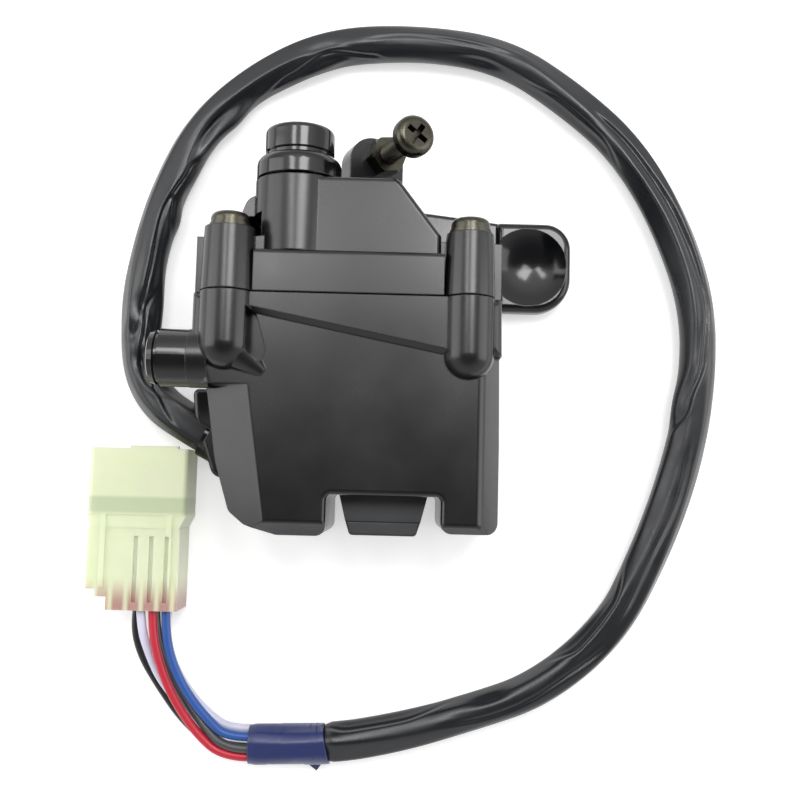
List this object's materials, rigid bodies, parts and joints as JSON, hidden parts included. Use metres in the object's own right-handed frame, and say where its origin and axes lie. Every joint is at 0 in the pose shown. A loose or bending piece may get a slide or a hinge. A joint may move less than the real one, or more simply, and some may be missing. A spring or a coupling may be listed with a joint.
{
  "type": "quad handlebar throttle and switch housing",
  "caption": "Split clamp housing for a quad's right handlebar: thumb throttle with limiter screw, drive-select push switch and a sleeved harness with a connector.",
  "frame": {"origin": "middle of the handlebar clamp, on the bar's axis, where the two halves part", "axes": "+X along the bar, outboard; +Y from the parting plane towards the throttle half; +Z out of the front face. The part lies on its back, on Z = -0.021"},
  "size_m": [0.1564, 0.19, 0.0442],
  "materials": {
    "housing_paint": "satin black paint over die-cast aluminium",
    "lever_paint": "gloss black paint over a cast lever",
    "zinc_steel": "olive zinc plate, slightly dull",
    "spring_steel": "drawn spring wire",
    "bronze": "bare bronze and brass",
    "black_rubber": "smooth moulded rubber",
    "button_plastic": "fine-textured moulding",
    "white_nylon": "moulded nylon",
    "sleeve_vinyl": "soft vinyl sleeve, glossy",
    "tape_blue": "vinyl tape",
    "wire_red": "vinyl insulation",
    "wire_blue": "vinyl insulation",
    "wire_grey": "vinyl insulation",
    "wire_white": "vinyl insulation",
    "wire_black": "vinyl insulation",
    "connector_nylon": "natural nylon, slightly translucent"
  },
  "bodies": {
    "housing": {"throttle_housing": "housing_paint", "throttle_cover": "housing_paint", "throttle_cover_screws": "zinc_steel", "clamp_screws": "zinc_steel", "clamp_washers": "zinc_steel", "pivot_bushes": "bronze", "pivot_washer": "zinc_steel", "return_spring": "spring_steel", "limiter_lock_nut": "zinc_steel", "switch_housing": "housing_paint", "cover_gasket": "black_rubber", "switch_back_cover": "housing_paint", "back_cover_screws": "zinc_steel", "switch_base": "button_plastic", "switch_base_screws": "zinc_steel", "fixed_contacts": "bronze", "button_spring": "spring_steel", "inlet_tube": "zinc_steel", "inlet_boot": "black_rubber", "harness_grommet": "black_rubber", "harness_sleeve": "sleeve_vinyl", "tape_wrap": "tape_blue", "wire_red": "wire_red", "wire_blue": "wire_blue", "wire_grey": "wire_grey", "wire_white": "wire_white", "wire_black": "wire_black", "wire_white_tracer": "wire_white", "connector_housing": "connector_nylon", "connector_terminals": "bronze"},
    "lever": {"throttle_lever": "lever_paint", "pivot_shaft": "zinc_steel", "pivot_nut": "zinc_steel", "pivot_cap": "black_rubber", "cable_drum": "zinc_steel"},
    "limiter": {"limiter_screw": "zinc_steel"},
    "button": {"drive_button": "button_plastic", "button_plunger": "white_nylon", "moving_contact": "bronze"}
  },
  "joints": [
    {"name": "throttle_lever_pivot", "type": "hinge", "parent": "housing", "child": "lever", "pos_m": [-0.0128, 0.0273, 0.0095], "axis": [0, -1, 0], "range_deg": [-32, 0], "stiffness_Nm_per_rad": 0.03, "springref_deg": -57.3, "deforming": ["return_spring"]},
    {"name": "button_press", "type": "slide", "parent": "housing", "child": "button", "axis": [0, 1, 0], "range_m": [0, 0.003], "stiffness_N_per_m": 400, "springref_m": -0.004, "deforming": ["button_spring"]},
    {"name": "limiter_adjust", "type": "slide", "parent": "housing", "child": "limiter", "axis": [0.4003, 0, 0.9164], "range_m": [0, 0.003]}
  ]
}
